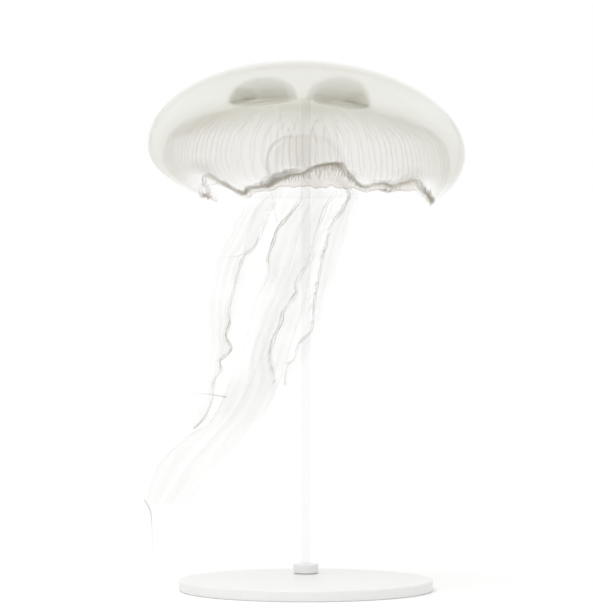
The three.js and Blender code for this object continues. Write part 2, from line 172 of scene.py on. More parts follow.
# Oral arms
ARM_SWEEP = [
    (0.8, 266), (0.8, 252), (-10, 214.5), (-21.4, 176.8), (-32, 139), (-47.8, 107.6),
    (-69.8, 79.3), (-88.7, 54.2), (-96.9, 29), (-97, 23),
]
ARMS = {
    "left": dict(corner=(-11, 0), spread=(-28, -2), depth=(-1, 1), width=6.5, turn=65, reach=1),
    "front": dict(corner=(0, -11), spread=(-1, 4), depth=(-18, -15), width=12, turn=5, reach=0.9),
    "back": dict(corner=(0, 11), spread=(13, 14), depth=(18, 16), width=8.5, turn=-8, reach=0.88),
    "right": dict(corner=(11, 0), spread=(28, 24), depth=(2, 0), width=7, turn=-65, reach=0.58),
}

# Edges of the arms' wide veils, each from the mouth down to its tip
LEFT_LIP = [
    (-11, 0, 263), (-20, -2, 244), (-31.5, -3, 218.3), (-38.4, 0, 211.7), (-41.5, 2, 204.5),
    (-45.3, 1, 189.4), (-48.4, -1, 176.8), (-48, 0, 168.6), (-50.3, 2, 160.5), (-47, 1, 152),
    (-54, -1, 145), (-53.4, 0, 139), (-57.6, 1, 132), (-59, 1, 121), (-64, 0, 109), (-70.4, 0, 102),
]
LEFT_RIM = [
    (-24, 3, 256), (-40, 8, 240), (-48, 9, 224), (-57, 7, 204), (-60.5, 8, 184), (-60.5, 9, 158),
    (-63.5, 7, 133), (-67, 5, 119), (-75.5, 2, 100),
]
FRONT_LEFT_LIP = [
    (-7, -9, 263), (-3, -14, 249), (-10.7, -18, 236.6), (-17.6, -20, 228), (-20.4, -21, 220),
    (-24, -19, 209.5), (-24, -17, 199), (-30, -16, 187), (-36, -18, 168), (-41, -19, 150),
    (-50, -17, 127), (-60, -15, 107), (-75, -12, 97), (-91, -8, 82), (-97, -4, 68), (-101, -2, 56),
]
FRONT_RIGHT_LIP = [
    (8, -9, 263), (18, -13, 252), (12.6, -17, 243), (8.6, -18, 231), (4.4, -17, 217.7),
    (2.5, -16, 208.5), (-3.4, -15, 199.5), (-6.3, -16, 192.5), (-6, -16, 188), (-10, -15, 182),
    (-14.5, -14, 175.6), (-16, -15, 168.6), (-20.4, -15, 158.6), (-22.3, -14, 147.6),
    (-19.5, -13, 133), (-23.5, -12, 117), (-37.5, -9, 101), (-47, -6, 83), (-61, -3, 63),
    (-74, -2, 50),
]
BACK_LEFT_LIP = [
    (-5, 9, 263), (2, 14, 246), (-6, 18, 222), (-12, 20, 200), (-18, 19, 178), (-24, 18, 158),
    (-33, 17, 136), (-44, 15, 114), (-62, 12, 92), (-80, 8, 70), (-90, 5, 54),
]
BACK_RIGHT_LIP = [
    (6, 9, 263), (17, 15, 246), (9, 19, 222), (3, 20, 200), (-2, 18, 178), (-8, 19, 158),
    (-15, 17, 136), (-24, 15, 114), (-36, 12, 96), (-52, 8, 74), (-68, 5, 56),
]
RIGHT_LIP = [
    (12, 0, 263), (26.5, 1, 251.7), (22.6, 2, 239.7), (15.7, 1, 229.6), (11.6, 0, 214.5),
    (9, 1, 202.6), (6, 2, 186.9), (4.6, 1, 174.6), (3, 1, 163.6), (-4.4, 0, 155.5),
    (-7.5, 0, 146), (-11.3, 1, 143), (-12.9, 0, 136), (-13.2, 0, 129.6),
]
RIGHT_RIM = [
    (14, 4, 262), (30, 8, 254), (33, 10, 244), (31, 10, 232), (27.5, 9, 218), (22, 9, 203),
    (17.5, 8, 184), (12, 7, 168), (7, 6, 156), (0, 4, 145), (-6, 3, 136), (-12, 1, 128),
]

# Pose
DOME_SHIFT = 0.3
LEAN = 8.5
LEAN_START = 275
LEAN_SPAN = 30
LEAN_POWER = 2.5
TILT_SLOPE = 0.0315


def smooth(value):
    value = np.clip(value, 0, 1)
    return value * value * (3 - 2 * value)


def mix(low, high, share):
    return low + (high - low) * share


def around(radius, azimuth, height):
    """Points at a distance from the bell's axis, an azimuth and a height."""
    parts = np.broadcast_arrays(radius * np.sin(azimuth), -radius * np.cos(azimuth), height)
    return np.stack(parts, -1)


def turns(count):
    """Azimuths at even distances all the way round."""
    return np.arange(count)[None] * TURN / count


def unit(vectors):
    return vectors / np.linalg.norm(vectors, axis=-1, keepdims=True)


def peak(value, middle, width, power=2):
    """1 at middle, falling to 0 on both sides; a high power gives a flat top."""
    return np.exp(-(((value - middle) / width) ** power))


def posed(points):
    """Leans the margin to the right of the dome and lowers the right side."""
    x, y, z = np.moveaxis(points, -1, 0)
    below = np.clip((LEAN_START - z) / LEAN_SPAN, 0, None)
    return np.stack([x + DOME_SHIFT + LEAN * below**LEAN_POWER, y, z - TILT_SLOPE * x], -1)


def curve(points, count):
    """Points at even distances along a smooth curve through the given ones."""
    points = np.array(points, float)
    ends = [2 * points[0] - points[1], *points, 2 * points[-1] - points[-2]]
    t = np.linspace(0, 1, 40, endpoint=False)[:, None]
    pieces = []
    for a, b, c, d in zip(ends, ends[1:], ends[2:], ends[3:]):
        square = 2 * a - 5 * b + 4 * c - d
        cube = 3 * b - a - 3 * c + d
        pieces.append(0.5 * (2 * b + (c - a) * t + square * t**2 + cube * t**3))
    fine = np.concatenate([*pieces, points[-1:]])
    run = np.concatenate([[0], np.cumsum(np.linalg.norm(np.diff(fine, axis=0), axis=1))])
    even = np.linspace(0, run[-1], count)
    return np.stack([np.interp(even, run, column) for column in fine.T], -1)


MARGIN_CURVE = curve(MARGIN_HEIGHTS, 800)


def sideways_degrees(azimuth):
    """How far to the right a point is, -90 to 90; the back half mirrors the front half."""
    return np.degrees(np.arcsin(np.sin(azimuth)))


def margin_height(azimuth):
    """Height of the pleated margin."""
    ripple = 0.4 * np.sin(23 * azimuth + 1) + 0.3 * np.sin(41 * azimuth)
    return np.interp(sideways_degrees(azimuth), *MARGIN_CURVE.T) + ripple


def flap_drop(height):
    """How far the thin flap hangs below a margin of this height."""
    above = height - FLAP_EDGE_HEIGHT
    return FLAP_DROP + (above + np.sqrt(above**2 + 6)) / 2


def near_notch(azimuth, width):
    """1 in the middle of each notch between two lappets, falling to 0 on both sides."""
    sector = TURN / LAPPETS
    return peak((azimuth + sector / 2) % sector, sector / 2, width)


def ceiling(radius):
    """Height of the cavity's ceiling at a distance from the bell's axis."""
    return WIDEST_HEIGHT + CAVITY_RISE * np.sqrt(1 - (radius / CAVITY_RADIUS) ** 2)


def dome_point(azimuth, down, depth):
    """A point of the dome's wall; down runs from the top (0) to the rim (1)."""
    angle = mix(math.pi / 2, -RIM_ANGLE, down)
    above = angle > 0
    rise = np.where(above, UPPER_RISE, LOWER_DROP)
    thick = mix(BELL_RADIUS - CAVITY_RADIUS, RIM_THICKNESS, np.clip(-angle / RIM_ANGLE, 0, 1))
    inner_radius = np.where(above, CAVITY_RADIUS, BELL_RADIUS - thick)
    inner_rise = np.where(above, CAVITY_RISE, LOWER_DROP - thick)
    radius = mix(BELL_RADIUS, inner_radius, depth) * np.cos(angle)
    return around(radius, azimuth, WIDEST_HEIGHT + mix(rise, inner_rise, depth) * np.sin(angle))


def lappet_point(azimuth, down, depth):
    """A point of a lappet; down runs from the rim (1) to the margin (2) and the flap's edge (3)."""
    share = np.clip(down - 1, 0, 1)
    flap = np.clip(down - 2, 0, 1)
    pull = share**1.6
    slope = mix(RIM_ANGLE, MARGIN_ANGLE, share)
    height = margin_height(azimuth) + NOTCH_RISE * near_notch(azimuth, NOTCH_WIDTH)
    margin_radius = LOWEST_MARGIN_RADIUS + MARGIN_SPREAD * (height - LOWEST_MARGIN)
    pleat = 0.55 * pull * np.sin(52 * azimuth + 2 * np.sin(5 * azimuth))
    crimp = 0.5 * flap * np.sin(64 * azimuth + 1.5 * np.sin(7 * azimuth))
    wall = mix(MARGIN_THICKNESS, RIM_THICKNESS, (1 - share) ** 1.4)
    thickness = mix(wall, FLAP_THICKNESS, np.sqrt(flap))
    drop = flap_drop(height) * (1 + 0.06 * np.sin(31 * azimuth) + 0.04 * np.sin(73 * azimuth))
    reach = margin_radius - BELL_RADIUS * math.cos(MARGIN_ANGLE)
    radius = BELL_RADIUS * np.cos(slope) + pull * reach
    radius = radius + pleat + crimp - FLAP_REACH * flap - depth * thickness * np.cos(slope)
    level = WIDEST_HEIGHT - LOWER_DROP * np.sin(slope)
    level = level + pull * (height - WIDEST_HEIGHT + LOWER_DROP * math.sin(MARGIN_ANGLE))
    return around(radius, azimuth, level + depth * thickness * np.sin(slope) - drop * flap)


def wall_point(azimuth, down, depth):
    """A point of the bell, posed: depth runs from the outer face (0) to the inner one (1)."""
    azimuth, down, depth = np.broadcast_arrays(azimuth, down, depth)
    dome = dome_point(azimuth, np.clip(down, 0, 1), depth)
    lappet = lappet_point(azimuth, np.clip(down, 1, 3), depth)
    return posed(np.where((down > 1)[..., None], lappet, dome))


def lining_point(azimuth, down, above):
    """A point at a height above the cavity's lining, within the wall."""
    lining = wall_point(azimuth, down, 1)
    away = wall_point(azimuth, down, 0) - lining
    length = np.linalg.norm(away, axis=-1)
    return lining + away * np.minimum(above / length, 0.7)[..., None]


# ---- meshes


def add_object(name, data):
    made = bpy.data.objects.new(name, data)
    bpy.context.scene.collection.objects.link(made)
    return made


def make_piece(name, points, faces, materials, face_material=None, tint=None):
    """A smooth mesh object from points in millimetres, on the one body of the model."""
    mesh = bpy.data.meshes.new(name)
    mesh.from_pydata((np.asarray(points) / METRE).tolist(), [], faces)
    for material in materials:
        mesh.materials.append(material)
    if face_material is not None:
        mesh.polygons.foreach_set("material_index", np.asarray(face_material, np.int32))
    mesh.polygons.foreach_set("use_smooth", np.ones(len(mesh.polygons), bool))
    tint = np.ones(len(points)) if tint is None else tint
    mesh.attributes.new("tint", "FLOAT", "POINT").data.foreach_set("value", np.float32(tint))
    piece = add_object(name, mesh)
    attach(piece, "root")
    return piece


def grid_faces(rows, columns, start=0, round_rows=False, round_columns=False, flip=False):
    """Quads over a grid of points; a round direction joins its last points to its first."""
    downwards, across = np.arange(rows - (not round_rows)), np.arange(columns - (not round_columns))
    row, column = np.meshgrid(downwards, across, indexing="ij")
    after = (column + 1) % columns
    here, below = row * columns, (row + 1) % rows * columns
    quads = np.stack([here + column, below + column, below + after, here + after], -1)
    quads = quads.reshape(-1, 4) + start
    return (quads[:, ::-1] if flip else quads).tolist()


def closed_rings(rings, start=0):
    """Points and faces of a closed body through a stack of rings, each end closed by a fan."""
    steps, sides = rings.shape[:2]
    points = np.concatenate([rings.reshape(-1, 3), rings[[0, -1]].mean(1)])
    faces = grid_faces(steps, sides, start, round_columns=True)
    first, end = start + steps * sides, start + (steps - 1) * sides
    for side in range(sides):
        after = (side + 1) % sides
        faces.append([start + side, start + after, first])
        faces.append([end + after, end + side, first + 1])
    return points, faces


def stacked_piece(name, rings, material, tint=None):
    """A piece that is one closed body through a stack of rings."""
    points, faces = closed_rings(rings)
    return make_piece(name, points, faces, [material], tint=tint)


class Bodies:
    """Gathers many closed bodies into one mesh."""

    def __init__(self):
        self.points = []
        self.faces = []
        self.tints = []
        self.count = 0

    def add(self, points, faces, tint):
        self.points.append(points)
        self.faces += faces
        self.tints.append(np.broadcast_to(tint, len(points)))
        self.count += len(points)

    def tube(self, path, radii, tint=1.0, sides=6):
        """A closed tube along path, with a radius and a tint at each of its points."""
        tangent = unit(np.gradient(path, axis=0))
        guide = np.where(np.abs(tangent[0, 2]) > 0.9, [1.0, 0, 0], UP)
        across = [unit(np.cross(tangent[0], guide))]
        for way in tangent[1:]:
            across.append(unit(across[-1] - way * across[-1].dot(way)))
        across = np.array(across)
        up = np.cross(tangent, across)
        self.ribbon(path, across, up, radii, radii, tint, sides)

    def ribbon(self, path, across, up, width, height, tint=1.0, sides=6):
        """A closed tube of oval section; width and height are half sizes along across and up."""
        steps = len(path)
        angle = -turns(sides).T
        width, height = (np.broadcast_to(size, steps)[:, None, None] for size in (width, height))
        sideways = width * across[:, None] * np.cos(angle)
        upwards = height * up[:, None] * np.sin(angle)
        points, faces = closed_rings(path[:, None] + sideways + upwards, self.count)
        tint = np.broadcast_to(tint, steps)
        self.add(points, faces, np.concatenate([np.repeat(tint, sides), tint[[0, -1]]]))

    def sheet(self, front, back, tint):
        """A closed sheet between two grids of points."""
        rows, columns = front.shape[:2]
        start, count = self.count, rows * columns
        faces = grid_faces(rows, columns, start)
        faces += grid_faces(rows, columns, start + count, flip=True)
        index = np.arange(count).reshape(rows, columns) + start
        border = [*index[0, :-1], *index[:-1, -1], *index[-1, :0:-1], *index[:0:-1, 0]]
        here, after = np.array(border), np.roll(border, -1)
        faces += np.stack([here, after, after + count, here + count], -1).tolist()
        points = np.concatenate([front.reshape(-1, 3), back.reshape(-1, 3)])
        self.add(points, faces, np.tile(np.broadcast_to(tint, (rows, columns)).ravel(), 2))

    def piece(self, name, material):
        points, tints = np.concatenate(self.points), np.concatenate(self.tints)
        return make_piece(name, points, self.faces, [material], tint=tints)


# ---- materials


JELLY_IOR = 1.34
JELLY_ALPHA = 0.003


class Nodes:
    """Short calls for building the node tree of a material or of the world."""

    def __init__(self, owner):
        owner.use_nodes = True
        self.owner = owner
        self.tree = owner.node_tree
        self.shader = self.tree.nodes.get("Principled BSDF")

    def node(self, kind, inputs=None, **settings):
        node = self.tree.nodes.new(kind)
        for key, setting in settings.items():
            setattr(node, key, setting)
        for key, value in (inputs or {}).items():
            self.put(node, key, value)
        return node

    def put(self, node, key, value):
        socket = node.inputs[key]
        if isinstance(value, bpy.types.NodeSocket):
            self.tree.links.new(value, socket)
        else:
            socket.default_value = value

    def surface(self, key, value):
        self.put(self.shader, key, value)

    def noise(self, scale, detail=3.0):
        place = self.node("ShaderNodeTexCoord").outputs["Object"]
        inputs = {"Vector": place, "Scale": scale, "Detail": detail}
        return self.node("ShaderNodeTexNoise", inputs).outputs["Fac"]

    def ramp(self, value, low, high, start=0.3, end=0.7):
        """A number that goes from low to high as value goes from start to end."""
        inputs = {"Value": value, "From Min": start, "From Max": end, "To Min": low, "To Max": high}
        return self.node("ShaderNodeMapRange", inputs).outputs["Result"]

    def paint(self, value, low, high):
        """The base colour goes from low to high as value goes from 0 to 1."""
        inputs = {0: value, 6: (*low, 1), 7: (*high, 1)}
        mixer = self.node("ShaderNodeMix", inputs, data_type="RGBA")
        self.surface("Base Color", mixer.outputs[2])

    def bump(self, height, strength, distance):
        inputs = {"Height": height, "Strength": strength, "Distance": distance}
        self.surface("Normal", self.node("ShaderNodeBump", inputs).outputs["Normal"])

    def absorb(self, colour, density):
        inputs = {"Color": (*colour, 1), "Density": density}
        volume = self.node("ShaderNodeVolumeAbsorption", inputs)
        self.put(self.tree.nodes["Material Output"], "Volume", volume.outputs["Volume"])


def new_material(name):
    return Nodes(bpy.data.materials.new(name))


def tissue(name, low, high, alpha, roughness, scale, bump=0.15, absorb=None):
    """Wet see-through tissue: colour, roughness and alpha vary over a soft noise."""
    nodes = new_material(name)
    cloud = nodes.noise(scale, 2.0)
    nodes.paint(nodes.ramp(cloud, 0, 1), low, high)
    nodes.surface("Roughness", nodes.ramp(cloud, roughness, roughness + 0.15))
    tint = nodes.node("ShaderNodeAttribute", attribute_name="tint").outputs["Fac"]
    inputs = {0: tint, 1: nodes.ramp(cloud, *alpha)}
    nodes.surface("Alpha", nodes.node("ShaderNodeMath", inputs, operation="MULTIPLY").outputs[0])
    nodes.surface("IOR", JELLY_IOR)
    nodes.bump(nodes.noise(scale * 3, 2.0), bump, 0.0006)
    if absorb:
        nodes.absorb(*absorb)
    return nodes.owner


def jelly(name, colour, density):
    """Clear or cloudy jelly: its volume takes up light, and its surface hardly shows."""
    nodes = new_material(name)
    cloud = nodes.noise(40, 1.0)
    nodes.paint(cloud, (0.70, 0.70, 0.66), (0.82, 0.82, 0.79))
    nodes.surface("Roughness", nodes.ramp(cloud, 0.3, 0.5))
    nodes.surface("Alpha", JELLY_ALPHA)
    nodes.surface("IOR", JELLY_IOR)
    nodes.absorb(colour, density)
    return nodes.owner


CLEAR = (0.30, 0.30, 0.05)
CLOUDY = (0.34, 0.315, 0.14)
ROSY = (0.40, 0.32, 0.16)
EXUMBRELLA = tissue("exumbrella", (0.62, 0.62, 0.56), (0.75, 0.75, 0.70), (0.02, 0.045), 0.2, 60)
LINING = tissue("lining", (0.52, 0.47, 0.41), (0.66, 0.62, 0.56), (0.015, 0.065), 0.3, 45)
FLAP = tissue("flap", (0.52, 0.45, 0.36), (0.68, 0.60, 0.50), (0.06, 0.13), 0.3, 90)
EDGE = tissue("flap_edge", (0.45, 0.44, 0.40), (0.60, 0.59, 0.55), (0.12, 0.22), 0.3, 150)
CANAL = tissue("canal", (0.26, 0.21, 0.17), (0.40, 0.34, 0.29), (0.035, 0.068), 0.4, 120)
CORD = tissue("margin_cord", (0.17, 0.15, 0.095), (0.32, 0.29, 0.21), (0.10, 0.2), 0.4, 200)
FRINGE = tissue("fringe", (0.27, 0.21, 0.13), (0.45, 0.38, 0.28), (0.14, 0.28), 0.4, 200)
GONAD = tissue(
    "gonad", (0.27, 0.24, 0.17), (0.42, 0.38, 0.29), (0.10, 0.22), 0.45, 130,
    absorb=((0.33, 0.31, 0.18), 4.5),
)
POUCH = jelly("gonad_pouch", (0.33, 0.31, 0.20), 9.6)
STOMACH = jelly("stomach_wall", (0.50, 0.40, 0.30), 15.0)
CORE = jelly("stomach_core", (0.52, 0.40, 0.30), 9.0)
FOLD = tissue("stomach_fold", (0.34, 0.28, 0.21), (0.48, 0.42, 0.34), (0.10, 0.16), 0.4, 150)
STALK = tissue(
    "stalk", (0.60, 0.57, 0.52), (0.78, 0.75, 0.70), (0.015, 0.04), 0.3, 60,
    absorb=((0.34, 0.27, 0.14), 2.0),
)
VEIL = tissue("arm_veil", (0.42, 0.42, 0.35), (0.56, 0.56, 0.48), (0.04, 0.11), 0.3, 40)
GUTTER = tissue("arm_gutter", (0.45, 0.45, 0.41), (0.60, 0.60, 0.55), (0.03, 0.08), 0.3, 55)
FRILL = tissue("arm_frill", (0.27, 0.255, 0.16), (0.46, 0.44, 0.33), (0.17, 0.42), 0.35, 140)
SENSE = tissue("sense_organ", (0.14, 0.12, 0.07), (0.30, 0.26, 0.18), (0.06, 0.15), 0.4, 400)


def satin_white():
    nodes = new_material("satin_white")
    cloud = nodes.noise(220, 6.0)
    nodes.paint(cloud, (0.80, 0.80, 0.79), (0.86, 0.86, 0.85))
    nodes.surface("Roughness", nodes.ramp(cloud, 0.32, 0.46))
    nodes.bump(nodes.noise(1400, 2.0), 0.06, 0.0002)
    return nodes.owner


def clear_acrylic():
    """See-through without refraction, which turned black behind many clear layers."""
    nodes = new_material("clear_acrylic")
    nodes.surface("Base Color", (0.74, 0.77, 0.78, 1))
    nodes.surface("Alpha", 0.12)
    nodes.surface("IOR", 1.49)
    nodes.surface("Roughness", nodes.ramp(nodes.noise(300, 3.0), 0.02, 0.07))
    return nodes.owner


WHITE = satin_white()
ACRYLIC = clear_acrylic()


# ---- bell


def bell_skin():
    """The whole bell in one closed skin: dome, lappets and flap, inside and out."""
    columns = 400
    azimuth = turns(columns)
    dome = np.linspace(0.012, 1, 60) ** 0.9
    down = np.concatenate([dome, np.linspace(1, 2, 28)[1:], np.linspace(2, 3, 10)[1:]])
    outside = wall_point(azimuth, down[:, None], 0)
    inside = wall_point(azimuth, down[::-1, None], 1)
    points, faces = closed_rings(np.concatenate([outside, inside]))
    both = np.concatenate([down, down[::-1]])
    between = (both[1:] + both[:-1]) / 2
    is_inside = np.arange(len(both)) >= len(down)
    kind = np.where(between > 1.95, 2, is_inside[:-1])
    material = np.concatenate([np.repeat(kind, columns), np.tile([0, 1], columns)])
    # Painted shade: the skin is made denser, so darker, in a soft furrow at each notch and in
    # columns where the lappets fold, outside and inside
    painted_furrow_shade = near_notch(azimuth, math.radians(6)) * smooth((both[:, None] - 0.7) / 0.4)
    side = sideways_degrees(azimuth)
    fold = sum(strength * peak(side, *place) for *place, strength in LAPPET_FOLD_SHADE)
    fold = fold * (smooth((both - 1.0) / 0.4) * smooth((2.05 - both) / 0.15))[:, None]
    thin = mix(0.3, 1, smooth((both - 0.5) / 0.6))
    thin = np.where(is_inside, thin, 1)[:, None]
    faint = 1 - 0.8 * peak(side, -62, 11, 4) * smooth((both[:, None] - 1.9) / 0.15)
    tint = np.concatenate([((1 + 0.4 * painted_furrow_shade + fold) * thin * faint).ravel(), [1, 1]])
    skin = make_piece("bell_skin", points, faces, [EXUMBRELLA, LINING, FLAP], material, tint)
    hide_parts("bell", *(f"lappet_{index + 1}" for index in range(LAPPETS)))


def shell(name, upper, under, colour, density, ring=False):
    """A closed layer of jelly between two faces; those of a ring meet along both rims."""
    material = jelly(name + "_jelly", colour, density)
    if ring:
        rings = np.concatenate([upper, under[-2:0:-1]])
        faces = grid_faces(*rings.shape[:2], round_rows=True, round_columns=True)
        piece = make_piece(name, rings.reshape(-1, 3), faces, [material])
    else:
        piece = stacked_piece(name, np.concatenate([upper, under[::-1]]), material)


def bell_jelly():
    """The wall's clear jelly, its cloudier skin, and the hazes within it."""
    azimuth = turns(240)
    down = np.concatenate([np.linspace(0.014, 1, 50)[:-1], np.linspace(1, 2, 24)])[:, None]
    shell("wall", wall_point(azimuth, down, 0.004), wall_point(azimuth, down, 0.996), CLEAR, 1.5)
    down = np.linspace(0.016, 1.7, 64)[:, None]
    shell("skin", wall_point(azimuth, down, 0.03), wall_point(azimuth, down, 0.17), CLOUDY, 3.6)
    down = np.linspace(0.6, 1.85, 60)[:, None]
    swell = np.sin(math.pi * (down - 0.6) / 1.25)
    left = 0.5 - 0.5 * np.sin(azimuth)
    upper = wall_point(azimuth, down, 0.02)
    under = wall_point(azimuth, down, 0.02 + 0.5 * swell * mix(1, 0.6, left))
    shell("rim_haze", upper, under, CLOUDY, 4.2, ring=True)
    for name, last, rise, sink, density in HAZES:
        down = np.linspace(0.018, last, 60)[:, None]
        upper, under = lining_point(azimuth, down, rise), lining_point(azimuth, down, -sink)
        shell(name + "_haze", upper, under, CLOUDY, density)
    down = np.linspace(0.2, 0.95, 40)[:, None]
    swell = np.sin(math.pi * (down - 0.2) / 0.75) ** 2
    upper = lining_point(azimuth, down, -0.4)
    under = lining_point(azimuth, down, -0.4 - swell * mix(1.5, 6.5, left))
    shell("shoulder_haze", upper, under, ROSY, 3.2, ring=True)


def canals():
    """Radial canals: eight branching trees with a straight canal between each two, and a ring."""
    bodies = Bodies()

    def canal(first, last, low, high, phase):
        down = np.linspace(low, high, max(6, int(52 * (high - low))))
        share = smooth((down - low) / min(0.16, high - low))
        wobble = 0.005 * np.sin(9 * down + phase) + 0.002 * np.sin(27 * down + 2 * phase)
        azimuth = mix(first, last, share) + wobble * smooth((down - 0.6) / 0.3)
        width = CANAL_HALF_WIDTH * mix(1.15, 0.8, (down - CANAL_START) / (CANAL_END - CANAL_START))
        tint = mix(0.3, 1, smooth((down - CANAL_START) / 0.5))
        tint = tint * mix(1, 0.5, smooth((down - 1.5) / 0.4))
        tint = tint * mix(0.55, 1, np.cos(azimuth) ** 2) * rng.uniform(0.7, 1.2)
        path = lining_point(azimuth, down, CANAL_DEPTH)
        across = unit(lining_point(azimuth + 0.01, down, CANAL_DEPTH) - path)
        up = unit(lining_point(azimuth, down, CANAL_DEPTH + 0.1) - path)
        bodies.ribbon(path, across, up, width, CANAL_HALF_HEIGHT, tint)

    def tree(azimuth, width, tips, level, parent):
        low = CANAL_START if level == 0 else BRANCH_LEVELS[level - 1]
        last = tips == 1 or level == len(BRANCH_LEVELS)
        high = CANAL_END if last else BRANCH_LEVELS[level]
        canal(parent, azimuth, low, high, rng.uniform(0, TURN))
        if last:
            return
        left = tips // 2 + (tips % 2) * int(rng.integers(2))
        part = left / tips
        tree(azimuth - width * (1 - part) / 2, width * part, left, level + 1, azimuth)
        tree(azimuth + width * part / 2, width * (1 - part), tips - left, level + 1, azimuth)

    for index in range(8):
        middle = index * TURN / 8
        between = middle + TURN / 16
        tree(middle, TREE_WIDTH, TIPS_PER_TREE, 0, middle)
        canal(between, between, CANAL_START, CANAL_END, rng.uniform(0, TURN))
    azimuth = np.linspace(0, TURN, 500)
    bodies.tube(lining_point(azimuth, CANAL_END, CANAL_DEPTH / 2), 0.4, sides=5)
    bodies.piece("radial_canals", CANAL)


# ---- margin


def margin_path(azimuth):
    return wall_point(azimuth, 2.0, 0.3)


def hanging_tentacle(bodies, root, azimuth, length, strength=1.0):
    """One short tentacle that hangs from root and leans outwards."""
    out, side = around(1, azimuth, 0), around(1, azimuth + TURN / 4, 0)
    lean, sway, curl = rng.uniform(0.02, 0.35), rng.uniform(-0.25, 0.25), rng.uniform(-0.5, 0.5)
    share = np.linspace(0, 1, 7)
    along = length * share[:, None]
    path = root + along * (out * lean + side * (sway + curl * share[:, None]) - UP)
    bodies.tube(path, mix(0.38, 0.15, share), strength * mix(1, 0.35, share))


def fringe():
    """The dark margin with its short hanging tentacles, and the pale edge of the flap."""
    bodies = Bodies()
    for index in range(TENTACLES):
        azimuth = (index + 0.5 + rng.uniform(-0.3, 0.3)) * TURN / TENTACLES
        root = margin_path(np.array([azimuth]))[0]
        length = rng.uniform(0.45, 0.78) * float(flap_drop(margin_height(azimuth)))
        dark = np.interp(sideways_degrees(azimuth), *np.array(FRINGE_LINE).T)
        hanging_tentacle(bodies, root, azimuth, length, dark)
    bodies.piece("margin_fringe", FRINGE)

    bodies = Bodies()
    azimuth = np.linspace(0, TURN, 1400)
    beads = 1 + 0.2 * np.sin(61 * azimuth) + 0.15 * np.sin(97 * azimuth + 1)
    degrees, darkness, width = np.array(MARGIN_LINE).T
    here = sideways_degrees(azimuth)
    dark = np.interp(here, degrees, darkness)
    wide = np.interp(here, degrees, width) * beads
    path = margin_path(azimuth)
    bodies.tube(path, 0.3 + 0.3 * wide, dark)
    raised = path + 1.3 * UP * np.clip(wide - 1.4, 0, None)[:, None]
    bodies.tube(raised, 1.3 * wide, 0.5 * dark, sides=10)
    fuzz = peak(here, -13, 9, 4)
    bodies.tube(path + 2.4 * UP, 0.2 + 1.9 * fuzz * beads, fuzz, sides=10)
    for degrees, drop, radius in MARGIN_CURLS:
        for turned in (degrees, 180 - degrees):
            margin_curl(bodies, math.radians(turned), drop, radius)
    for degrees, half, count in MARGIN_TUFTS:
        for turned in (degrees, 180 - degrees):
            for away in rng.uniform(-half, half, count):
                at = math.radians(turned + away)
                root = margin_path(np.array([at]))[0] + rng.uniform(-0.3, 0.6 * half) * UP
                hanging_tentacle(bodies, root, at, rng.uniform(1.4, 3.4))
    bodies.piece("margin_cord", CORD)

    bodies = Bodies()
    edge = wall_point(azimuth, 2.99, 0.5)
    bodies.tube(edge, 0.3, 0.25 + 0.75 * peak(here, 10, 50, 4))
    bodies.piece("flap_edge", EDGE)


def margin_curl(bodies, azimuth, drop, radius):
    """A fold of the margin that curls into a small loop, darkest along its lower side."""
    side = around(1, azimuth + TURN / 4, 0)
    middle = margin_path(np.array([azimuth]))[0] - drop * UP
    angle = np.linspace(-0.46, 0.46, 48) * TURN
    ring = side * np.sin(angle)[:, None] - 0.95 * UP * np.cos(angle)[:, None]
    lower = 0.28 + 0.6 * smooth((np.cos(angle) - 0.1) / 0.8)
    path = middle + radius * ring
    bodies.tube(path, 0.35 + 0.45 * lower, lower)
    bodies.tube(path, 0.7 + 0.7 * lower, 0.5 * lower)
    for spot in path[14:34:4]:
        hanging_tentacle(bodies, spot, azimuth, rng.uniform(0.8, 1.8), 0.6)


def rhopalia():
    """A small dark club in each notch between two lappets."""
    for index in range(LAPPETS):
        bodies = Bodies()
        low, high = box_mm(f"rhopalium_{index + 1}")
        middle, half = (low + high) / 2, (high[2] - low[2]) / 2
        share = np.linspace(0, 1, 14)
        path = middle + UP * (half * (1 - 2 * share))[:, None]
        radii = np.sqrt(np.clip(1 - (2 * share - 1) ** 4, 0.02, 1)) * mix(0.4, 0.85, share)
        bodies.tube(path, radii, sides=12)
        piece = bodies.piece(f"sense_club_{index + 1}", SENSE)
        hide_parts(f"rhopalium_{index + 1}")


# ---- gonads, stomach and arms


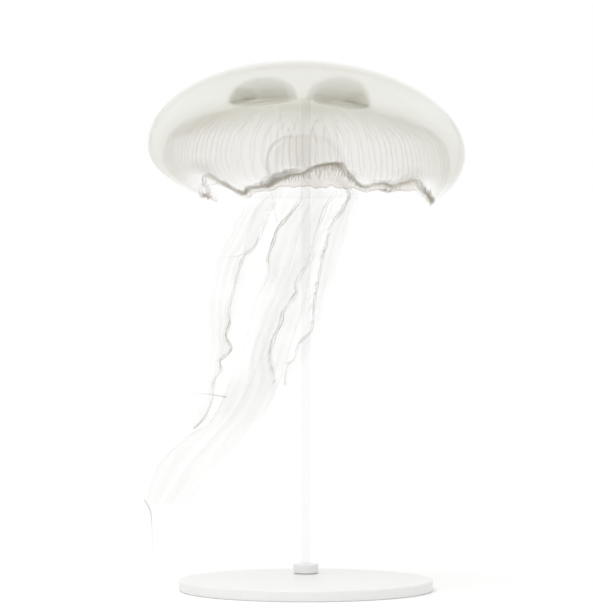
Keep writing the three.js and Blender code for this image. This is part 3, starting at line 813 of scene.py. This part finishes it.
def gonads():
    """Four frilled horseshoes, each under a soft pouch that thins out upwards."""
    share = np.linspace(0, 1, 120)[:, None]
    turn = turns(28)
    up = (1 - np.cos(turn)) / 2
    bend = mix(-GONAD_HALF_SWEEP, GONAD_HALF_SWEEP, share)
    size = np.sqrt(np.clip(1 - (2 * share - 1) ** 8, 0.02, 1))
    frill = 0.10 * np.sin(26 * bend + 3 * up) + 0.08 * np.sin(11 * bend + 3)
    profile = np.sign(np.sin(turn)) * np.abs(np.sin(turn)) ** 0.7 * (1 - up) ** 0.6 * 1.25
    away = GONAD_BEND_RADIUS + GONAD_HALF_WIDTH * size * (profile * (1 + frill) + frill)
    rise = GONAD_CLEARANCE + GONAD_HEIGHT * size * up * (1 + 0.8 * frill)
    folds = 1 + 0.2 * np.sin(52 * bend + 2 * np.sin(9 * bend)) * smooth((0.25 - up) / 0.2)
    tint = (folds * mix(1, 0.06, smooth(up / 0.22))).ravel()
    tint = np.concatenate([tint, [0.5, 0.5]])

    spread = np.linspace(0.03, 1, 16)
    pouch_away = POUCH_RADIUS * np.concatenate([spread, spread[::-1]])[:, None]
    around_pouch = turns(64)

    def pouch_lift(index):
        """A ridge that runs from left to right, so that the pouch fades softly upwards."""
        seen = (index + 0.5) * TURN / GONADS + around_pouch
        deep = np.abs(spread[:, None] * np.cos(seen))
        lift = (1 - deep**2) ** 1.1 * (1 - spread[:, None] ** 2) ** 0.4
        lift = lift * (1 + POUCH_LEANS[index] * spread[:, None] * np.sin(seen))
        return np.concatenate([lift, 0 * lift])

    def shape(index, bend, away, rise):
        away = away * GONAD_SIZES[index]
        out, sideways = GONAD_RING_RADIUS + away * np.cos(bend), away * np.sin(bend)
        radius = np.hypot(out, sideways)
        azimuth = (index + 0.5) * TURN / GONADS + np.arctan2(sideways, out)
        rings = around(radius, azimuth, ceiling(radius) + rise)
        rings[..., 0] += GONAD_SHIFTS[index]
        return posed(rings)

    for index in range(GONADS):
        rings = shape(index, bend, away, rise)
        piece = stacked_piece(f"gonad_frill_{index + 1}", rings, GONAD, tint)
        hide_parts(f"gonad_{index + 1}")
        rise_here = GONAD_CLEARANCE - 0.1 + POUCH_HEIGHTS[index] * pouch_lift(index)
        rings = shape(index, around_pouch, pouch_away, rise_here)
        piece = stacked_piece(f"gonad_pouch_{index + 1}", rings, POUCH)


def manubrium():
    """The stalk under the bell, the stomach's thin folded wall round it and a core."""
    top = ceiling(MANUBRIUM_RADIUS * 1.12) + 1.0
    share = np.linspace(0, 1, 60)[:, None]
    azimuth = turns(96)
    corner = 1 + 0.12 * np.cos(4 * azimuth) + 0.03 * np.sin(11 * azimuth + 8 * share)
    swell = 1 - 0.14 * np.sin(TURN * share)
    close = np.sqrt(np.clip(1 - (2 * share - 1) ** 10, 0.02, 1))
    radius = MANUBRIUM_RADIUS * corner * swell * close
    rings = around(radius, azimuth, mix(top, MANUBRIUM_FOOT, share))
    piece = stacked_piece("stalk_skin", posed(rings), STALK)
    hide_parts("manubrium")

    angle = mix(0.02, 1, share) * math.radians(112)
    lobes = 1 + 0.05 * np.cos(3 * azimuth + 1) + 0.02 * np.sin(7 * azimuth)
    shape = lobes * np.sin(angle) ** 0.8
    level = STOMACH_HEIGHT + STOMACH_RISE * np.cos(angle)
    outer = around(STOMACH_RADIUS * shape, azimuth, level)
    inner = around((STOMACH_RADIUS - STOMACH_WALL) * shape, azimuth, level - STOMACH_WALL)
    rings = np.concatenate([outer, inner[::-1]])
    piece = stacked_piece("stomach_wall", posed(rings), STOMACH)

    bodies = Bodies()
    turn = np.linspace(0, 1, 60)
    way = mix(math.radians(108), math.radians(8), turn)
    radius = (STOMACH_RADIUS + 1) * np.sin(way) ** 0.6
    level = STOMACH_HEIGHT + (STOMACH_RISE - 1) * np.cos(way)
    for degrees, strength, shift in STOMACH_FOLDS:
        wander = math.radians(degrees) + 0.25 * turn**2 + 0.05 * np.sin(9 * turn)
        path = posed(around(radius, wander, level) + [shift, 0, 0])
        bodies.tube(path, 1.1, strength * mix(1, 0.4, turn), sides=8)
    bodies.piece("stomach_folds", FOLD)

    angle = mix(0.02, 0.98, share) * math.pi
    rings = around(CORE_RADIUS * np.sin(angle), azimuth, CORE_HEIGHT + CORE_RISE * np.cos(angle))
    piece = stacked_piece("stomach_core", posed(rings + [CORE_SHIFT, 0, 0]), CORE)


SWEEP = curve(ARM_SWEEP, 600)


def arm_spine(arm, share):
    """The middle line of an arm, from the mouth (0) to its tip (1)."""
    at = np.clip(share, 0, 1) * arm["reach"] * (len(SWEEP) - 1)
    x, z = (np.interp(at, np.arange(len(SWEEP)), column) for column in SWEEP.T)
    away = smooth(share / 0.12)
    x = x + mix(arm["corner"][0], mix(*arm["spread"], share**2), away)
    y = mix(arm["corner"][1], mix(*arm["depth"], share), away)
    return np.stack(np.broadcast_arrays(x, y, z), -1)


def arm_point(arm, share, across, lift):
    """A point of an arm's gutter; across runs from one lip (-1) to the other (1)."""
    share, across, lift = np.broadcast_arrays(share, across, lift)
    tangent = unit(arm_spine(arm, share + 0.004) - arm_spine(arm, share - 0.004))
    turn = math.radians(arm["turn"]) * (1 - 0.6 * smooth(share / 0.36))
    wide = np.stack([np.cos(turn), np.sin(turn), np.zeros_like(turn)], -1)
    wide = unit(wide - tangent * (wide * tangent).sum(-1, keepdims=True))
    fold = np.cross(tangent, wide)
    slim = mix(0.62, 1, smooth(share / 0.12)) * mix(1, 0.12, smooth((share - 0.68) / 0.32))
    run = TURN * share * arm["reach"]
    phase = arm["corner"][0] - arm["corner"][1]
    wave = np.sin(11 * run + 2 * across + phase)
    quick = np.sin(31 * run + 3 * across + 2.1 * phase + 2 * np.sin(6 * run))
    ruffle = 2 * slim * across**2 * wave + 0.9 * slim * np.abs(across) ** 5 * quick
    depth = 6 * slim * (np.abs(across) - 0.5)
    spot = arm_spine(arm, share) + wide * (arm["width"] * slim * across)[..., None]
    return spot + fold * (depth + ruffle + lift)[..., None]


def arm_gutters():
    """The folded ribbon of each arm."""
    bodies = Bodies()
    share = np.linspace(0, 1, 260)[:, None]
    across = np.linspace(-1, 1, 29)[None]
    half = mix(0.55, 0.22, np.abs(across)) * mix(1, 0.5, share) / 2
    tint = mix(1, 0.35, np.abs(across)) * smooth(share / 0.1)
    tint = tint * mix(1, 0.2, smooth((share - 0.3) / 0.6))
    for arm in ARMS.values():
        upper, under = (arm_point(arm, share, across, lift) for lift in (half, -half))
        bodies.sheet(upper, under, tint)
    piece = bodies.piece("arm_gutters", GUTTER)
    parts = ("upper", "middle", "lower")
    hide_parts(*(f"oral_arm_{side}_{part}" for side in ARMS for part in parts))


def veil(bodies, first, last, seed, strengths, stops, billow=3.0, gathered=False):
    """A thin ruffled sheet between two edges; stops are (height, strength).

    A gathered sheet is denser along its last edge half-way down, and along its first edge below.
    """
    rows, columns = 300, 41
    left, right = curve(first, rows)[:, None], curve(last, rows)[:, None]
    share = np.linspace(0, 1, rows)[:, None]
    across = np.linspace(0, 1, columns)[None]
    flat = mix(left, right, across[..., None])
    down = unit(np.gradient(flat, axis=0))
    normal = unit(np.cross(unit(right - left + 1e-6), down))
    side = np.abs(2 * across - 1)
    taper = mix(1, 0.35, share)
    folds = billow * taper * np.sin(math.pi * across) * np.sin(7 * across + seed + 4 * share)
    folds = folds + 0.9 * taper * np.sin(19 * across + 2 * seed + 5 * np.sin(5 * share + seed))
    run = TURN * share
    ruffle = 1.5 * side**3 * np.sin(13 * run + 3 * across + seed)
    ruffle = ruffle + 0.9 * side**6 * np.sin(37 * run + seed + 2 * np.sin(7 * run))
    sheet = flat + normal * (folds + taper * ruffle)[..., None]
    streak = 1 + 0.35 * np.sin(23 * across + seed + 1.5 * np.sin(3 * share)) * (1 - side**2)
    height = flat[..., 2]
    tint = mix(*strengths, across) * streak * np.interp(height, *np.array(stops).T)
    if gathered:
        middle = smooth((205 - height) / 25) * smooth((height - 122) / 20)
        low = smooth((132 - height) / 20)
        tint = tint * mix(1, 0.15 + 0.95 * smooth((across - 0.2) / 0.45), middle)
        tint = tint * mix(1, 1.3 - 0.7 * across, low)
    thick = 0.18
    bodies.sheet(sheet - normal * thick, sheet + normal * thick, tint)


def arm_veils():
    """The wide thin curtains of the four arms."""
    short = [(100, 0.4), (135, 0.6), (160, 1), (240, 1), (256, 0)]
    outermost = [(100, 0.4), (135, 0.6), (160, 1), (222, 1), (246, 1.6), (256, 0.3)]
    long = [(50, 0.5), (98, 0.55), (106, 0.8), (118, 1.2), (150, 1.3), (180, 1.1), (225, 0.9)]
    long += [(242, 0.9), (256, 0.1)]
    behind = [(54, 0.5), (100, 0.55), (118, 1.1), (180, 1), (200, 0.5), (240, 0.4), (256, 0)]
    between = [(185, 0), (200, 0.5), (215, 1), (245, 1), (256, 0)]
    left, front, back, right = Bodies(), Bodies(), Bodies(), Bodies()
    veil(left, LEFT_RIM, LEFT_LIP, 1.0, (0.8, 1.1), short)
    veil(left, LEFT_LIP[:9], FRONT_LEFT_LIP[:8], 1.7, (0.35, 0.35), between)
    veil(front, FRONT_LEFT_LIP, FRONT_RIGHT_LIP, 2.0, (1.05, 0.65), long, billow=5.0, gathered=True)
    veil(back, BACK_LEFT_LIP, BACK_RIGHT_LIP, 3.5, (0.5, 0.5), behind, billow=4.0, gathered=True)
    veil(right, RIGHT_LIP, RIGHT_RIM, 5.0, (0.9, 0.2), outermost)
    for side, bodies in zip(ARMS, (left, front, back, right)):
        bodies.piece(f"arm_veil_{side}", VEIL)


def lip(bodies, points, seed, stops, width=1.5):
    """A rolled lip: a crimped band with a dark line on each side; stops are (height, strength)."""
    path = curve(points, 560)
    share = np.linspace(0, 1, len(path))
    tangent = unit(np.gradient(path, axis=0))
    outward = unit(np.cross(tangent, BACK))
    run = TURN * share
    strength = np.interp(path[:, 2], *np.array(stops).T)
    wide = 0.5 * width * mix(1, 0.6, share) * (1 + 0.3 * np.sin(17 * run + 2 * seed))
    for side, phase in ((-1, 0.0), (1, 2.2)):
        crimp = 0.8 * np.sin(58 * run + seed + phase + 1.5 * np.sin(9 * run))
        edge = path + outward * (side * wide)[:, None] + BACK * crimp[:, None]
        patchy = 0.45 + 0.55 * smooth(0.5 + 0.7 * np.sin(5.3 * run + seed + phase))
        bodies.tube(edge, 0.36 * mix(1, 0.75, share), strength * patchy, sides=5)
    out = np.linspace(-1, 1, 7)[None, :, None]
    crimp = 0.7 * np.sin(44 * run + seed)[:, None, None] * out
    spot = path[:, None] + outward[:, None] * wide[:, None, None] * out + BACK * crimp
    bodies.sheet(spot - 0.16 * BACK, spot + 0.16 * BACK, (0.3 * strength)[:, None])


def spikes(bodies, points, low, high, count, length, strength):
    """Soft spikes that stand out from a lip and point down, between two heights."""
    path = curve(points, 400)
    tangent = unit(np.gradient(path, axis=0))
    among = np.flatnonzero((path[:, 2] > low) & (path[:, 2] < high))
    for at in np.sort(rng.choice(among, count, replace=False)):
        outward = -unit(np.cross(tangent[at], BACK))
        share = np.linspace(0, 1, 7)
        lean = rng.uniform(-0.5, 0.5) * BACK
        way = share[:, None] * (rng.uniform(0.35, 0.8) * outward + lean)
        way = way + share[:, None] ** 1.4 * tangent[at]
        spike = path[at] + length * rng.uniform(0.5, 1.0) * way
        across, up = (np.broadcast_to(side, spike.shape) for side in (outward, BACK))
        tint = strength * mix(1, 0.4, share)
        bodies.ribbon(spike, across, up, mix(1.1, 0.15, share), 0.2, tint)


def arm_frills():
    """The rolled lips of the arms, their soft spikes, and a few loose threads."""
    bodies = Bodies()
    left = [(102, 0.9), (112, 0.9), (122, 0.55), (138, 0.5), (150, 1), (168, 1), (178, 0.4)]
    left += [(196, 0.4), (208, 0.7), (219, 0.8), (225, 0.1), (258, 0)]
    front_left = [(50, 0.15), (98, 0.2), (150, 0.1), (200, 0.12), (206, 0.3), (209, 1.2)]
    front_left += [(225, 1.1), (238, 0.9), (248, 0.2), (258, 0)]
    front_right = [(50, 0.06), (108, 0.06), (122, 0.08), (136, 0.2), (146, 0.55), (176, 1.1)]
    front_right += [(181, 0.4), (186, 1), (191, 0.9), (195, 0.4), (240, 0.4), (250, 0.25), (257, 0)]
    right = [(129, 0.3), (145, 0.5), (200, 0.65), (235, 0.6), (250, 0.5), (260, 0)]
    lip(bodies, LEFT_LIP, 0.4, left)
    lip(bodies, FRONT_LEFT_LIP, 2.0, front_left)
    lip(bodies, FRONT_RIGHT_LIP, 3.1, front_right, 2)
    lip(bodies, BACK_LEFT_LIP, 4.2, [(54, 0.08), (240, 0.2), (256, 0)])
    lip(bodies, BACK_RIGHT_LIP, 5.0, [(56, 0.08), (240, 0.2), (256, 0)])
    lip(bodies, RIGHT_LIP, 6.1, right)
    spikes(bodies, RIGHT_LIP, 170, 246, 16, 8.0, 0.22)
    spikes(bodies, RIGHT_LIP, 130, 170, 12, 4.5, 0.22)
    spikes(bodies, FRONT_RIGHT_LIP, 132, 160, 22, 6.5, 0.22)
    spikes(bodies, FRONT_RIGHT_LIP, 162, 178, 6, 3.5, 0.3)
    spikes(bodies, FRONT_RIGHT_LIP, 185, 235, 8, 6.0, 0.2)
    spikes(bodies, LEFT_LIP, 130, 170, 10, 4.0, 0.25)
    threads = [
        ([(-38, 0, 212.5), (-44, -1, 210.5), (-53, -2, 210)], 0.3),
        ([(-18, -12, 232), (-19.5, -13, 238), (-20.5, -12, 245), (-22, -11, 252)], 0.35),
        ([(-50, -16, 122.7), (-62, -18, 124.8), (-69, -17, 124.9), (-76, -16, 125.6)], 0.8),
        ([(-102, -2, 57.5), (-98, -1, 50), (-97, 0, 36), (-97, 0, 23)], 0.8),
    ]
    share = np.linspace(0, 1, 40)
    for thread, strength in threads:
        bodies.tube(curve(thread, 40), mix(0.6, 0.25, share), strength * mix(1, 0.2, share))
    bodies.piece("arm_frills", FRILL)


# ---- stand


# Name, CAD node, slot, rounding of the edges, material and number of sides
STAND = [
    ("stand_disc", "stand_base", "base", 1.2, WHITE, 192),
    ("stand_socket", "stand_collar", "base", 0.8, WHITE, 96),
    ("stand_stem", "stand_rod", "rod", 0.5, ACRYLIC, 64),
]


def rounded(radius, low, high, bevel):
    """Profile of a disc or rod with rounded upper and lower edges: radius and height."""
    angle = np.linspace(0, math.pi / 2, 7)
    across, up = bevel * np.sin(angle), bevel * np.cos(angle)
    lower = np.stack([radius - bevel + across, low + bevel - up], -1)
    upper = np.stack([radius - bevel + up, high - bevel + across], -1)
    inner = 0.5 * radius
    return np.array([(inner, low), *lower, *upper, (inner, high)])


def stand():
    for name, node, slot, bevel, material, sides in STAND:
        low, high = box_mm(node)
        radius, height = rounded((high - low)[0] / 2, low[2], high[2], bevel).T[..., None]
        rings = around(radius, turns(sides), height) + [*(low + high)[:2] / 2, 0]
        piece = stacked_piece(name, rings[::-1], material)
        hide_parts(node)


# ---- stage


FLOOR_SIZE = 60
WORLD_LIGHT = 0.80


def floor():
    nodes = new_material("pale_floor")
    cloud = nodes.noise(3, 2.0)
    nodes.paint(cloud, (0.93, 0.93, 0.93), (0.95, 0.95, 0.95))
    nodes.surface("Roughness", 0.9)
    nodes.surface("Specular IOR Level", 0.0)
    mesh = bpy.data.meshes.new("floor")
    corners = [(-1, -1), (1, -1), (1, 1), (-1, 1)]
    mesh.from_pydata([(x * FLOOR_SIZE, y * FLOOR_SIZE, 0) for x, y in corners], [], [(0, 1, 2, 3)])
    mesh.materials.append(nodes.owner)
    add_object("floor", mesh)


def world():
    """White where the camera sees it, in reflections and through glass, and dimmer as a lamp."""
    nodes = Nodes(bpy.data.worlds.new("studio"))
    rays = nodes.node("ShaderNodeLightPath").outputs
    seen = rays["Is Camera Ray"]
    for ray in ("Is Glossy Ray", "Is Transmission Ray"):
        inputs = {0: seen, 1: rays[ray]}
        seen = nodes.node("ShaderNodeMath", inputs, operation="MAXIMUM").outputs[0]
    background = nodes.tree.nodes["Background"]
    nodes.put(background, "Color", (1, 1, 1, 1))
    nodes.put(background, "Strength", nodes.ramp(seen, WORLD_LIGHT, 1, 0, 1))
    bpy.context.scene.world = nodes.owner


def key_light():
    data = bpy.data.lights.new("key", "SUN")
    data.energy = 1.05
    data.angle = math.radians(40)
    add_object("key", data).rotation_euler = (math.radians(16), math.radians(-14), 0)


# Camera: level with the margin and far back, so that the bell and the base both show
VIEW_CENTRE = Vector((-0.006, 0.0, 0.1793))
VIEW_WIDTH = 0.373
CAMERA_DISTANCE = 2.8
CAMERA_HEIGHT = 0.258


def camera():
    data = bpy.data.cameras.new("camera")
    data.sensor_fit = "HORIZONTAL"
    data.angle_x = 2 * math.atan(VIEW_WIDTH / 2 / CAMERA_DISTANCE)
    data.clip_end = 100
    made = add_object("camera", data)
    made.location = (VIEW_CENTRE.x, -CAMERA_DISTANCE, CAMERA_HEIGHT)
    made.rotation_euler = (VIEW_CENTRE - made.location).to_track_quat("-Z", "Y").to_euler()
    bpy.context.scene.camera = made


camera()
floor()
world()
key_light()
bell_skin()
bell_jelly()
canals()
fringe()
rhopalia()
gonads()
manubrium()
arm_gutters()
arm_veils()
arm_frills()
stand()

bpy.context.scene.view_settings.view_transform = "Standard"
bpy.context.scene.cycles.transparent_max_bounces = 96
